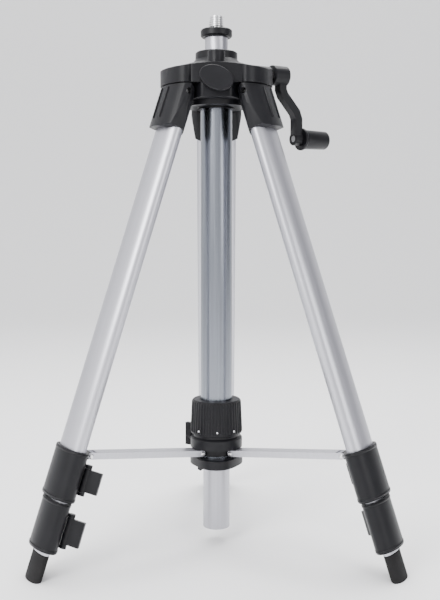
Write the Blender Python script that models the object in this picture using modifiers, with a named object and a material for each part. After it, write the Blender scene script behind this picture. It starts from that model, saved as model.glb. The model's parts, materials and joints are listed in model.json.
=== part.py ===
"""Elevator tripod for a laser level: a three-legged aluminium stand with a crank column.

Metres, +Z up. The origin lies on the floor under the middle of the footprint, and the
column axis stands COLUMN_Y behind or in front of it. Everything else is measured from the
column axis: r outwards, t sideways (counterclockwise seen from above), z above the floor.
"""

from math import atan2, cos, hypot, pi, radians, sin, tan

import bmesh
import bpy
from mathutils import Matrix, Vector

MM = 0.001
GAP = 0.3 * MM  # between pieces that touch
SLIDE = 0.4 * MM  # between pieces that slide or turn on each other
ROUND_STEPS = 24
OVAL_STEPS = 24

# The top of the shoulder casting; what sits in it or hangs from it is measured down from it.
SHOULDER_TOP = 526 * MM

# Legs: the azimuth of each, and the line that their axes follow.
LEGS = {"left": radians(210), "right": radians(330), "rear": radians(90)}
FOOT_RADIUS = 203.4 * MM
LEG_TOP_INSET = 3.8 * MM  # how far inside the pivots the leg axes pass them

# Centre column, its guide tube and the platform on top.
COLUMN_RADIUS = 14.25 * MM
COLUMN_WALL = 1.2 * MM
COLUMN_BOTTOM = 16 * MM
COLUMN_TOP = SHOULDER_TOP - GAP
GUIDE_WALL = 1.4 * MM
GUIDE_CLEARANCE = 1.35 * MM
GUIDE_RADIUS = COLUMN_RADIUS + GUIDE_CLEARANCE + GUIDE_WALL
GUIDE_BOTTOM = 90 * MM
GUIDE_TOP = SHOULDER_TOP - 44.5 * MM
NECK_RADIUS = 12.3 * MM
NECK_HEIGHT = 16 * MM
NECK_PLUG = 26 * MM
PLATFORM_RADIUS = 17 * MM
PLATFORM_HEIGHT = 8.7 * MM
STUD_RADIUS = 7.94 * MM
STUD_PITCH = 2.309 * MM
STUD_THREADS = 6
STUD_SHANK = 6 * MM

# Rack and pinion.
MODULE = 1 * MM
PINION_TEETH = 12
TOOTH_SHARE = 0.36  # of the pitch that a tooth fills at the pitch line
RACK_WIDTH = 6 * MM
COLUMN_TRAVEL = 240 * MM
CRANK_AZIMUTH = radians(30)
CRANK_HEIGHT = SHOULDER_TOP - 22 * MM

# Shoulder casting at the top of the guide tube.
BOSS_RADIUS = 22.7 * MM
LOBE_MIDDLE = 48.5 * MM
LOBE_HALF_WIDTH = 28 * MM
LOBE_HALF_DEPTH = 13 * MM
LOBE_BOTTOM = SHOULDER_TOP - 39 * MM
LOBE_TOP = SHOULDER_TOP - 22.5 * MM
HOUSING_FACE = 47 * MM
HOUSING_CORNER = 9 * MM
HOUSING_BOTTOM = SHOULDER_TOP - 54 * MM
HOUSING_LEG_FACE = 37 * MM
FLANGE_RADIUS = 33.5 * MM
FLANGE_BOTTOM = SHOULDER_TOP - 59.5 * MM
SOCKET_RADIUS = GUIDE_RADIUS + 3 * MM
SOCKET_BOTTOM = SHOULDER_TOP - 61.5 * MM
TONGUE_HALF_WIDTH = 9 * MM
PIVOT_R = 48 * MM
PIVOT_Z = SHOULDER_TOP - 48 * MM
PIVOT_PIN = 3 * MM
LEG_TILT = atan2(FOOT_RADIUS - PIVOT_R + LEG_TOP_INSET, PIVOT_Z)

# Lock knob on the front and the crank on the right.
LOCK_HEIGHT = SHOULDER_TOP - 36.4 * MM
LOCK_SCREW = 4 * MM
KNOB_INNER = 49 * MM
KNOB_OUTER = 61 * MM
KNOB_HALF_LENGTH = 18 * MM
KNOB_HALF_HEIGHT = 12 * MM
SHAFT_RADIUS = 4 * MM
CRANK_HUB_RADIUS = 11 * MM
CRANK_HUB_INNER = 58 * MM
CRANK_HUB_DEPTH = 18 * MM
CRANK_THROW = 68 * MM
CRANK_OFFSET = 21 * MM  # how far the arm bends outwards
ARM_WIDTH = 10.5 * MM
ARM_THICK = 9 * MM
HANDLE_LENGTH = 35 * MM
HANDLE_RADIUS = 10.9 * MM
SPINDLE_RADIUS = 3.5 * MM

# Spreader: the carriage on the guide tube and its three braces.
HUB_Z = 97.6 * MM
BRACE_HEIGHT = 6.4 * MM
BRACE_HEADROOM = 1.4 * MM
HUB_R = GUIDE_RADIUS + BRACE_HEIGHT / 2 + 2 * SLIDE
CARRIAGE_FLANGE_RADIUS = GUIDE_RADIUS + 10.8 * MM
CARRIAGE_FLANGE_BOTTOM = HUB_Z + BRACE_HEIGHT / 2 + BRACE_HEADROOM
CARRIAGE_FLANGE_TOP = 113 * MM
COLLAR_BOTTOM_RADIUS = GUIDE_RADIUS + 10.3 * MM
COLLAR_TOP_RADIUS = GUIDE_RADIUS + 9 * MM
COLLAR_BOTTOM = 117.5 * MM
COLLAR_TOP = 153 * MM
END_CUP_RADIUS = GUIDE_RADIUS + 10.5 * MM
END_CUP_LOBE = 2.5 * MM
END_CUP_BOTTOM = 83 * MM
END_CUP_HEIGHT = 9 * MM
BRACE_FOOT_Z = 111.5 * MM
BRACE_FOOT_INSET = 19.27 * MM  # from the leg's axis
BRACE_FOOT_R = FOOT_RADIUS - BRACE_FOOT_Z * tan(LEG_TILT) - BRACE_FOOT_INSET
BRACE_WIDTH = 15.4 * MM
BRACE_WALL = 1.4 * MM
RIVET_RADIUS = 1.6 * MM
RIVET_HEAD = 2.5 * MM
WING_AZIMUTH = radians(150)
WING_INNER = GUIDE_RADIUS + 12 * MM
WING_LENGTH = 24 * MM

# Leg sections: half-widths sideways and half-depths, then walls.
UPPER_OVAL = (22.5 * MM, 11.1 * MM)
MIDDLE_OVAL = (19 * MM, 8.7 * MM)
LOWER_OVAL = (15.5 * MM, 6.4 * MM)
TUBE_WALL = 1.3 * MM
UPPER_TUBE_TOP = SHOULDER_TOP - 76 * MM
MIDDLE_TUBE_TOP = SHOULDER_TOP - 86 * MM
LOWER_TUBE_TOP = SHOULDER_TOP - 106 * MM
KNUCKLE_BOTTOM = SHOULDER_TOP - 89 * MM
KNUCKLE_TOP = SHOULDER_TOP - 40 * MM
KNUCKLE_HALF_WIDTH = 28.5 * MM
KNUCKLE_HALF_DEPTH = 15 * MM
KNUCKLE_SHIFT = 3.5 * MM
KNUCKLE_INNER = 40 * MM
UPPER_CLAMP = (26 * MM, 14.3 * MM)
UPPER_CLAMP_ENDS = (75 * MM, 120.6 * MM)
LOWER_CLAMP = (22.5 * MM, 12.3 * MM)
LOWER_CLAMP_ENDS = (28 * MM, 73 * MM)
FOOT_TOP = 24 * MM
FOOT_PLUG = 18 * MM
LEVER_TURN = radians(140)
LEVER_LENGTH = 19 * MM
LEVER_THICK = 5 * MM
LEVER_HUB = 3.6 * MM
UPPER_LEVER_ENDS = (85 * MM, 107 * MM)
LOWER_LEVER_ENDS = (36 * MM, 61 * MM)

BLACK = (0.012, 0.012, 0.015)
MATERIALS = {
    "black_plastic": (BLACK, 0.42, 0.0),
    "black_rubber": ((0.015, 0.015, 0.016), 0.85, 0.0),
    "satin_aluminium": ((0.82, 0.82, 0.85), 0.28, 1.0),
    "polished_aluminium": ((0.6, 0.62, 0.67), 0.18, 1.0),
    "bright_steel": ((0.7, 0.7, 0.72), 0.2, 1.0),
    "gear_steel": ((0.4, 0.4, 0.42), 0.35, 1.0),
}


# ---- where things stand -------------------------------------------------------------


def leg_r(z):
    """Distance of a leg's axis from the column axis at height z."""
    return FOOT_RADIUS - z * tan(LEG_TILT)


def leg_s(z):
    """Distance along the leg's axis from the floor to height z."""
    return z / cos(LEG_TILT)


def reach(z, oval, turn):
    """How far an oval leg piece reaches at height z, in a direction turned from the leg's."""
    half_width, half_depth = oval
    depth = half_depth / cos(LEG_TILT)
    return leg_r(z) * cos(turn) + hypot(depth * cos(turn), half_width * sin(turn))


def column_y():
    """Puts the origin under the middle of the footprint."""
    rear = reach(0, LOWER_OVAL, 0)
    front = max(reach(0, LOWER_OVAL, pi / 3), reach(LOWER_CLAMP_ENDS[0], LOWER_CLAMP, pi / 3))
    return (front - rear) / 2


COLUMN_Y = column_y()
PINION_PITCH_RADIUS = MODULE * PINION_TEETH / 2
PINION_R = COLUMN_RADIUS - 0.25 * MM + PINION_PITCH_RADIUS
PITCH_LENGTH = pi * MODULE
RACK_ROOT = PINION_R - PINION_PITCH_RADIUS - 1.25 * MODULE
RACK_BACK = 2.5 * MM  # depth of the rack behind its teeth


# ---- scene, materials and frames ----------------------------------------------------


def clear_scene():
    for obj in list(bpy.data.objects):
        bpy.data.objects.remove(obj, do_unlink=True)
    for collection in list(bpy.data.collections):
        bpy.data.collections.remove(collection)


def new_collection(name):
    collection = bpy.data.collections.new(name)
    bpy.context.scene.collection.children.link(collection)
    return collection


def material_named(kind, piece):
    colour, roughness, metallic = MATERIALS[kind]
    material = bpy.data.materials.new(piece)
    material.use_nodes = True
    shader = material.node_tree.nodes["Principled BSDF"]
    shader.inputs["Base Color"].default_value = (*colour, 1)
    shader.inputs["Roughness"].default_value = roughness
    shader.inputs["Metallic"].default_value = metallic
    material.diffuse_color = (*colour, 1)
    return material


def empty(name, matrix, parent=None):
    """A frame that pieces hang on; its matrix is in its parent's frame."""
    frame = bpy.data.objects.new(name, None)
    frame.empty_display_size = 20 * MM
    PARTS.objects.link(frame)
    frame.parent = parent
    frame.matrix_local = matrix
    return frame


def finish(obj, name, kind, frame, matrix=None):
    """Makes a shape into a named piece of the object, hung on a frame."""
    obj.name = name
    obj.data.name = name
    for collection in list(obj.users_collection):
        collection.objects.unlink(obj)
    PARTS.objects.link(obj)
    obj.hide_render = False
    obj.display_type = "TEXTURED"
    obj.data.materials.clear()
    obj.data.materials.append(material_named(kind, name))
    hang(obj, frame, matrix)
    obj.data.shade_smooth()
    obj.data.set_sharp_from_angle(angle=radians(35))
    return obj


def hang(obj, frame, matrix=None):
    obj.parent = frame
    if matrix is not None:
        obj.matrix_local = matrix
    return obj


def helper(obj):
    """A cutter or a shape to be joined, kept out of the render."""
    for collection in list(obj.users_collection):
        collection.objects.unlink(obj)
    CUTTERS.objects.link(obj)
    obj.hide_render = True
    obj.display_type = "WIRE"
    return obj


def combine(obj, operation, others):
    for other in others:
        modifier = obj.modifiers.new(f"{operation} {other.name}", "BOOLEAN")
        modifier.operation = operation
        modifier.solver = "EXACT"
        modifier.object = other
    return obj


def cut(obj, *others):
    return combine(obj, "DIFFERENCE", others)


def join(obj, *others):
    return combine(obj, "UNION", others)


def common(obj, *others):
    return combine(obj, "INTERSECT", others)


# ---- shapes -------------------------------------------------------------------------


def object_of(name, shape):
    """Writes a bmesh to a new helper object."""
    bmesh.ops.recalc_face_normals(shape, faces=shape.faces)
    mesh = bpy.data.meshes.new(name)
    shape.to_mesh(mesh)
    shape.free()
    return helper(bpy.data.objects.new(name, mesh))


def box(name, low, high):
    shape = bmesh.new()
    bmesh.ops.create_cube(shape, size=1)
    size = Vector(high) - Vector(low)
    bmesh.ops.scale(shape, vec=size, verts=shape.verts)
    bmesh.ops.translate(shape, vec=(Vector(high) + Vector(low)) / 2, verts=shape.verts)
    return object_of(name, shape)


def cylinder(name, radius, start, end, steps=24, end_radius=None):
    """A cylinder, or a cone, between two points."""
    start, end = Vector(start), Vector(end)
    shape = bmesh.new()
    bmesh.ops.create_cone(
        shape,
        cap_ends=True,
        segments=steps,
        radius1=radius,
        radius2=radius if end_radius is None else end_radius,
        depth=(end - start).length,
    )
    turn = (end - start).to_track_quat("Z", "Y").to_matrix().to_4x4()
    bmesh.ops.transform(shape, matrix=Matrix.Translation((start + end) / 2) @ turn, verts=shape.verts)
    return object_of(name, shape)


def turned(name, profile, closed=False, steps=ROUND_STEPS):
    """A profile of (radius, height) points, down its outer side, turned about Z."""
    shape = bmesh.new()
    points = [shape.verts.new((radius, 0, height)) for radius, height in profile]
    pairs = list(zip(points, points[1:]))
    if closed:
        pairs.append((points[-1], points[0]))
    for pair in pairs:
        shape.edges.new(pair)
    mesh = bpy.data.meshes.new(name)
    shape.to_mesh(mesh)
    shape.free()
    obj = helper(bpy.data.objects.new(name, mesh))
    screw = obj.modifiers.new("Turn", "SCREW")
    screw.steps = steps
    screw.render_steps = steps
    screw.use_merge_vertices = True
    screw.merge_threshold = 0.00001
    return obj


def ring(name, outer, inner, bottom, top, steps=ROUND_STEPS, chamfer=0.0):
    """A tube about Z with its outer edges chamfered."""
    profile = [
        (outer - chamfer, top),
        (outer, top - chamfer),
        (outer, bottom + chamfer),
        (outer - chamfer, bottom),
        (inner, bottom),
        (inner, top),
    ]
    if not chamfer:
        profile = [(outer, top), (outer, bottom), (inner, bottom), (inner, top)]
    return turned(name, profile, closed=True, steps=steps)


def prism(name, outlines, bottom, top):
    """Flat outlines in XY, the first one outside and any others holes, made solid along Z.

    The curve is drawn in millimetres, because Blender fills very small outlines badly."""
    curve = bpy.data.curves.new(name, "CURVE")
    curve.dimensions = "2D"
    curve.fill_mode = "BOTH"
    curve.extrude = (top - bottom) / 2 / MM
    for outline in outlines:
        spline = curve.splines.new("POLY")
        spline.points.add(len(outline) - 1)
        for point, (x, y) in zip(spline.points, outline):
            point.co = (x / MM, y / MM, 0, 1)
        spline.use_cyclic_u = True
    source = bpy.data.objects.new(name, curve)
    bpy.context.scene.collection.objects.link(source)
    bpy.context.view_layer.update()
    evaluated = source.evaluated_get(bpy.context.evaluated_depsgraph_get())
    mesh = bpy.data.meshes.new_from_object(evaluated)
    shape = bmesh.new()
    shape.from_mesh(mesh)
    bmesh.ops.remove_doubles(shape, verts=shape.verts, dist=MM)
    bmesh.ops.scale(shape, vec=(MM, MM, MM), verts=shape.verts)
    bmesh.ops.translate(shape, vec=(0, 0, (top + bottom) / 2), verts=shape.verts)
    bpy.data.objects.remove(source)
    bpy.data.curves.remove(curve)
    bpy.data.meshes.remove(mesh)
    return object_of(name, shape)


def side_prism(name, outline, start, end):
    """An outline in (x, z) made solid along Y."""
    obj = prism(name, [[(x, -z) for x, z in outline]], start, end)
    obj.data.transform(Matrix.Rotation(-pi / 2, 4, "X"))
    return obj


def oval(half_width, half_depth, steps=OVAL_STEPS):
    """An oval, half_depth along X and half_width along Y."""
    turns = [2 * pi * i / steps for i in range(steps)]
    return [(half_depth * cos(turn), half_width * sin(turn)) for turn in turns]


def grown(size, margin):
    return (size[0] + margin, size[1] + margin)


def arc(centre, radius, start, end, steps):
    turns = [start + (end - start) * i / steps for i in range(steps + 1)]
    return [(centre[0] + radius * cos(turn), centre[1] + radius * sin(turn)) for turn in turns]


def turned_about_z(azimuth):
    return Matrix.Rotation(azimuth, 4, "Z")


# ---- shoulder -----------------------------------------------------------------------


def housing_azimuths():
    return [azimuth + pi for azimuth in LEGS.values()]


def rounded_hexagon(face, leg_face, corner):
    """Three long faces under the housings and three leg faces, with round corners."""
    half = (leg_face - face * cos(pi / 3)) / sin(pi / 3)
    leg_half = (face - leg_face * cos(pi / 3)) / sin(pi / 3)
    trim = corner * tan(pi / 6)
    points = []
    for azimuth in sorted(turn % (2 * pi) for turn in housing_azimuths()):
        for middle, distance, width in ((azimuth, face, half), (azimuth + pi / 3, leg_face, leg_half)):
            along = width - trim
            centre = along_line(middle, distance - corner, along)
            points += arc(centre, corner, middle, middle + pi / 3, 4)
    return points


def along_line(azimuth, distance, sideways):
    return (
        distance * cos(azimuth) - sideways * sin(azimuth),
        distance * sin(azimuth) + sideways * cos(azimuth),
    )


def tongue_outline():
    """The lug over the top and inner side of the pivot pin, in (r, z)."""
    clear = PIVOT_PIN + GAP
    low, high = FLANGE_BOTTOM + 1.5 * MM, LOBE_BOTTOM + 8 * MM
    inner, outer = FLANGE_RADIUS - 8 * MM, PIVOT_R + 9 * MM
    bend = arc((PIVOT_R, PIVOT_Z), clear, pi / 2, pi, 6)
    return [(inner, high), (outer, high), (outer, PIVOT_Z + clear), *bend, (PIVOT_R - clear, low), (inner, low)]


def shoulder_plan():
    """The three lobes over the legs, as one outline made of lobe shapes joined to a hexagon."""
    plate = prism("shoulder plate", [rounded_hexagon(HOUSING_FACE, LOBE_MIDDLE, HOUSING_CORNER)],
                  LOBE_BOTTOM - 4 * MM, SHOULDER_TOP + 4 * MM)
    for side, azimuth in LEGS.items():
        lobe = prism(f"lobe {side}", [oval(LOBE_HALF_WIDTH, LOBE_HALF_DEPTH)],
                     LOBE_BOTTOM - 3 * MM, SHOULDER_TOP + 3 * MM)
        lobe.matrix_local = turned_about_z(azimuth) @ Matrix.Translation((LOBE_MIDDLE, 0, 0))
        join(plate, hang(lobe, COLUMN))
    return hang(plate, COLUMN)


def crank_point(along, across=0.0, height=0.0):
    """A point in the crank's frame: along its shaft, across it away from the column, and up."""
    direction = Vector((cos(CRANK_AZIMUTH), sin(CRANK_AZIMUTH), 0))
    sideways = Vector((sin(CRANK_AZIMUTH), -cos(CRANK_AZIMUTH), 0))
    return direction * along + sideways * (PINION_R + across) + Vector((0, 0, CRANK_HEIGHT + height))


def shoulder_casting():
    profile = [
        (0, SHOULDER_TOP),
        (BOSS_RADIUS - MM, SHOULDER_TOP),
        (BOSS_RADIUS, SHOULDER_TOP - MM),
        (BOSS_RADIUS, SHOULDER_TOP - 8 * MM),
        (BOSS_RADIUS + 3.5 * MM, SHOULDER_TOP - 12 * MM),
        (HOUSING_FACE, LOBE_TOP + 4 * MM),
        (LOBE_MIDDLE + LOBE_HALF_DEPTH, LOBE_TOP),
        (LOBE_MIDDLE + LOBE_HALF_DEPTH + 2 * MM, LOBE_BOTTOM),
        (0, LOBE_BOTTOM),
    ]
    casting = turned("shoulder_casting", profile, steps=32)
    common(casting, shoulder_plan())
    lower = prism("lower housing", [rounded_hexagon(HOUSING_FACE - 0.4 * MM, HOUSING_LEG_FACE, 4 * MM)],
                  HOUSING_BOTTOM, LOBE_BOTTOM + 3 * MM)
    flange = cylinder("flange", FLANGE_RADIUS, (0, 0, FLANGE_BOTTOM), (0, 0, HOUSING_BOTTOM + 3 * MM), 32)
    collar = cylinder("collar", SOCKET_RADIUS, (0, 0, SOCKET_BOTTOM), (0, 0, HOUSING_BOTTOM + MM), 32)
    tower = cylinder("tower", 9 * MM, (0, -32 * MM, LOBE_BOTTOM + 6 * MM), (0, -32 * MM, SHOULDER_TOP - 5 * MM))
    boss = cylinder("shaft boss", 2.2 * SHAFT_RADIUS, crank_point(6 * MM), crank_point(54 * MM))
    for added in (lower, flange, collar, tower, boss):
        join(casting, hang(added, COLUMN))
    for side, azimuth in LEGS.items():
        tongue = side_prism(f"tongue {side}", tongue_outline(), -TONGUE_HALF_WIDTH, TONGUE_HALF_WIDTH)
        join(casting, hang(tongue, COLUMN, turned_about_z(azimuth)))
    bore = cylinder("casting bore", GUIDE_RADIUS + GAP, (0, 0, SOCKET_BOTTOM - MM), (0, 0, SHOULDER_TOP + MM), 32)
    pocket_radius = PINION_PITCH_RADIUS + 2.2 * MODULE
    pocket = cylinder("pinion pocket", pocket_radius, crank_point(-RACK_WIDTH), crank_point(RACK_WIDTH))
    shaft = cylinder("shaft bore", SHAFT_RADIUS + GAP, crank_point(-15 * MM), crank_point(60 * MM))
    screw = cylinder("screw bore", LOCK_SCREW + GAP, (0, 0, LOCK_HEIGHT), (0, -60 * MM, LOCK_HEIGHT))
    for cutter in (bore, pocket, shaft, screw):
        cut(casting, hang(cutter, COLUMN))
    return finish(casting, "shoulder_casting", "black_plastic", COLUMN)


def column_bush():
    bottom = GUIDE_TOP + GAP
    bush = ring("column_bush", GUIDE_RADIUS, COLUMN_RADIUS + SLIDE, bottom, SHOULDER_TOP)
    reach_in = PINION_PITCH_RADIUS + 2.2 * MODULE
    window = cylinder("bush window", reach_in, crank_point(-RACK_WIDTH), crank_point(RACK_WIDTH))
    notch = cylinder("bush notch", LOCK_SCREW + GAP, (0, 0, LOCK_HEIGHT), (0, -30 * MM, LOCK_HEIGHT))
    half = RACK_WIDTH / 2 + SLIDE
    groove = box("bush groove", (0, -half, bottom - MM), (GUIDE_RADIUS - GUIDE_WALL, half, SHOULDER_TOP + MM))
    cut(bush, hang(window, COLUMN), hang(notch, COLUMN))
    cut(bush, hang(groove, COLUMN, turned_about_z(CRANK_AZIMUTH - pi / 2)))
    return finish(bush, "column_bush", "black_plastic", COLUMN)


def guide_tube():
    tube = ring("column_guide_tube", GUIDE_RADIUS, GUIDE_RADIUS - GUIDE_WALL, GUIDE_BOTTOM, GUIDE_TOP, steps=32)
    return finish(tube, "column_guide_tube", "polished_aluminium", COLUMN)


def guide_tube_end_cup():
    turns = [2 * pi * i / 36 for i in range(36)]
    radii = [END_CUP_RADIUS + END_CUP_LOBE * cos(3 * (turn - CRANK_AZIMUTH)) for turn in turns]
    outline = [(radius * cos(turn), radius * sin(turn)) for radius, turn in zip(radii, turns)]
    top = END_CUP_BOTTOM + END_CUP_HEIGHT
    cup = prism("guide_tube_end_cup", [outline], END_CUP_BOTTOM, top)
    through = cylinder("cup bore", COLUMN_RADIUS + SLIDE, (0, 0, END_CUP_BOTTOM - MM), (0, 0, top + MM), 32)
    seat = cylinder("cup seat", GUIDE_RADIUS + GAP, (0, 0, GUIDE_BOTTOM - GAP), (0, 0, top + MM), 32)
    cut(cup, hang(through, COLUMN), hang(seat, COLUMN))
    return finish(cup, "guide_tube_end_cup", "black_plastic", COLUMN)


# ---- column -------------------------------------------------------------------------


def column_tube():
    tube = ring("column_tube", COLUMN_RADIUS, COLUMN_RADIUS - COLUMN_WALL, COLUMN_BOTTOM, COLUMN_TOP, steps=32)
    low, high = rack_ends()
    half = RACK_WIDTH / 2 + GAP
    slot = box("rack slot", (0, -half, low - GAP), (2 * COLUMN_RADIUS, half, high + GAP))
    cut(tube, hang(slot, RISER, turned_about_z(CRANK_AZIMUTH - pi / 2)))
    return finish(tube, "column_tube", "satin_aluminium", RISER)


def rack_ends():
    return CRANK_HEIGHT - COLUMN_TRAVEL - 3 * PITCH_LENGTH, CRANK_HEIGHT + 3 * PITCH_LENGTH


def rack_edge():
    """The toothed edge in (x, z), upwards, with a gap between teeth facing the pinion's middle."""
    low, high = rack_ends()
    root, tip = RACK_ROOT, RACK_ROOT + 2.05 * MODULE
    foot_half = TOOTH_SHARE * PITCH_LENGTH / 2 + 1.25 * MODULE * tan(radians(20))
    tip_half = TOOTH_SHARE * PITCH_LENGTH / 2 - 0.8 * MODULE * tan(radians(20))
    last = CRANK_HEIGHT + 2.5 * PITCH_LENGTH
    count = int((last - low - foot_half) / PITCH_LENGTH) + 1
    points = [(root, low)]
    for index in reversed(range(count)):
        middle = last - index * PITCH_LENGTH
        points += [(root, middle - foot_half), (tip, middle - tip_half)]
        points += [(tip, middle + tip_half), (root, middle + foot_half)]
    return [*points, (root, high)]


def column_rack():
    """A strip of faces from the flat back to the toothed edge, drawn out to the rack's width."""
    shape = bmesh.new()
    rows = []
    for x, z in rack_edge():
        back = shape.verts.new((RACK_ROOT - RACK_BACK, -RACK_WIDTH / 2, z))
        rows.append((back, shape.verts.new((x, -RACK_WIDTH / 2, z))))
    for (back, edge), (next_back, next_edge) in zip(rows, rows[1:]):
        shape.faces.new((back, edge, next_edge, next_back))
    drawn = bmesh.ops.extrude_face_region(shape, geom=shape.faces[:])
    corners = [item for item in drawn["geom"] if isinstance(item, bmesh.types.BMVert)]
    bmesh.ops.translate(shape, vec=(0, RACK_WIDTH, 0), verts=corners)
    rack = object_of("column_rack", shape)
    return finish(rack, "column_rack", "gear_steel", RISER, turned_about_z(CRANK_AZIMUTH - pi / 2))


def column_neck():
    plug = COLUMN_RADIUS - COLUMN_WALL - GAP
    foot = COLUMN_TOP + GAP
    top = foot + NECK_HEIGHT
    profile = [
        (0, top),
        (NECK_RADIUS, top),
        (NECK_RADIUS, foot),
        (plug, foot - GAP),
        (plug, foot - NECK_PLUG),
        (0, foot - NECK_PLUG),
    ]
    neck = turned("column_neck", profile)
    hole = cylinder("neck hole", STUD_SHANK + GAP, (0, 0, top - 6 * MM), (0, 0, top + MM))
    half = RACK_WIDTH / 2 + GAP
    low, high = rack_ends()
    back = RACK_ROOT - RACK_BACK - GAP
    groove = box("neck groove", (back, -half, low), (2 * COLUMN_RADIUS, half, high + GAP))
    cut(neck, hang(hole, RISER), hang(groove, RISER, turned_about_z(CRANK_AZIMUTH - pi / 2)))
    return finish(neck, "column_neck", "satin_aluminium", RISER)


def platform_bottom():
    return COLUMN_TOP + GAP + NECK_HEIGHT + GAP


def mounting_platform():
    bottom = platform_bottom()
    top = bottom + PLATFORM_HEIGHT
    profile = [
        (PLATFORM_RADIUS - 1.2 * MM, top),
        (PLATFORM_RADIUS, top - 1.2 * MM),
        (PLATFORM_RADIUS, bottom + 1.5 * MM),
        (PLATFORM_RADIUS - 1.5 * MM, bottom),
        (STUD_RADIUS + GAP, bottom),
        (STUD_RADIUS + GAP, top),
    ]
    platform = turned("mounting_platform", profile, closed=True, steps=32)
    return finish(platform, "mounting_platform", "black_plastic", RISER)


def mounting_stud():
    """A stud with a plain collar and shank, its thread shown as rings one pitch apart."""
    seat = platform_bottom() + PLATFORM_HEIGHT + GAP
    root = STUD_RADIUS - 0.6 * STUD_PITCH
    top = seat + STUD_THREADS * STUD_PITCH
    profile = [(0, top), (root, top)]
    for thread in reversed(range(STUD_THREADS)):
        middle = seat + (thread + 0.5) * STUD_PITCH
        profile += [(STUD_RADIUS, middle + 0.12 * STUD_PITCH), (STUD_RADIUS, middle - 0.12 * STUD_PITCH)]
        profile += [(root, seat + thread * STUD_PITCH)]
    shoulder = platform_bottom()
    low = shoulder - 5 * MM
    profile += [(STUD_RADIUS, seat), (STUD_RADIUS, shoulder), (STUD_SHANK, shoulder)]
    profile += [(STUD_SHANK, low), (0, low)]
    return finish(turned("mounting_stud", profile, steps=24), "mounting_stud", "bright_steel", RISER)


# ---- crank --------------------------------------------------------------------------


def crank_shaft():
    """A stepped shaft: the pinion slides on its flat inner end and the arm on its outer one."""
    shaft = cylinder("crank_shaft", SHAFT_RADIUS, (0, 0, -14 * MM), (0, 0, CRANK_HUB_INNER + 10 * MM))
    return finish(shaft, "crank_shaft", "gear_steel", CRANK)


def pinion_gear():
    root = PINION_PITCH_RADIUS - 1.1 * MODULE
    tip = PINION_PITCH_RADIUS + 0.8 * MODULE
    points = []
    for tooth in range(PINION_TEETH):
        # A rack gap faces the pinion at rest, so a pinion tooth points at the column.
        middle = pi + 2 * pi * tooth / PINION_TEETH
        half = TOOTH_SHARE * pi / PINION_TEETH
        for radius, share in ((root, -1.55), (tip, -0.5), (tip, 0.5), (root, 1.55)):
            turn = middle + share * half
            points.append((radius * cos(turn), radius * sin(turn)))
    bore = oval(SHAFT_RADIUS + GAP, SHAFT_RADIUS + GAP, 20)
    half_width = RACK_WIDTH / 2 - GAP
    gear = prism("pinion_gear", [points, bore], -half_width, half_width)
    return finish(gear, "pinion_gear", "gear_steel", CRANK)


def arm_path():
    """The arm's middle line, in (along the shaft, down from it)."""
    start = CRANK_HUB_INNER + 0.68 * CRANK_HUB_DEPTH
    return [
        (start, 4 * MM),
        (start, 15 * MM),
        (start + 0.12 * CRANK_OFFSET, 21 * MM),
        (start + 0.5 * CRANK_OFFSET, 30 * MM),
        (start + 0.88 * CRANK_OFFSET, 39 * MM),
        (start + CRANK_OFFSET, 46 * MM),
        (start + CRANK_OFFSET, CRANK_THROW + ARM_WIDTH / 2),
    ]


def crank_arm():
    """A hub, then a flat bar that bends outwards on its way down to the handle."""
    path = arm_path()
    outline = []
    for side in (1, -1):
        edge = []
        for index, (along, down) in enumerate(path):
            before, after = path[max(index - 1, 0)], path[min(index + 1, len(path) - 1)]
            slope = Vector((after[0] - before[0], after[1] - before[1])).normalized()
            edge.append((along + side * slope.y * ARM_THICK / 2, -(down - side * slope.x * ARM_THICK / 2)))
        outline += edge if side > 0 else reversed(edge)
    # Outline in (along, up): the crank's frame has its shaft on Z and up on Y.
    bar = prism("arm bar", [[(up, along) for along, up in outline]], -ARM_WIDTH / 2, ARM_WIDTH / 2)
    bar.data.transform(Matrix(((0, 0, 1, 0), (1, 0, 0, 0), (0, 1, 0, 0), (0, 0, 0, 1))))
    hub = cylinder("crank_arm", CRANK_HUB_RADIUS, (0, 0, CRANK_HUB_INNER), (0, 0, CRANK_HUB_INNER + CRANK_HUB_DEPTH))
    join(hub, hang(bar, CRANK))
    start = path[-1][0]
    eye = cylinder("arm eye", 0.7 * ARM_WIDTH, (0, -CRANK_THROW, start - ARM_THICK / 2),
                   (0, -CRANK_THROW, start + ARM_THICK / 2))
    join(hub, hang(eye, CRANK))
    bore = cylinder("hub bore", SHAFT_RADIUS + GAP, (0, 0, CRANK_HUB_INNER - MM), (0, 0, CRANK_HUB_INNER + 10.3 * MM))
    hole = cylinder("eye hole", SPINDLE_RADIUS + GAP, (0, -CRANK_THROW, start - ARM_THICK),
                    (0, -CRANK_THROW, start + ARM_THICK))
    cut(hub, hang(bore, CRANK), hang(hole, CRANK))
    return finish(hub, "crank_arm", "black_plastic", CRANK)


def arm_outer_face():
    return arm_path()[-1][0] + ARM_THICK / 2


def handle_spindle():
    """The pin that the handle turns on, with a head past the handle's recessed end."""
    face = arm_outer_face()
    end = face + HANDLE_LENGTH
    profile = [
        (0, end - 2 * MM),
        (SPINDLE_RADIUS + 2 * MM, end - 2 * MM),
        (SPINDLE_RADIUS + 2 * MM, end - 4 * MM),
        (SPINDLE_RADIUS, end - 4 * MM),
        (SPINDLE_RADIUS, face - ARM_THICK),
        (0, face - ARM_THICK),
    ]
    return finish(turned("handle_spindle", profile, steps=20), "handle_spindle", "gear_steel", HANDLE)


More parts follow.
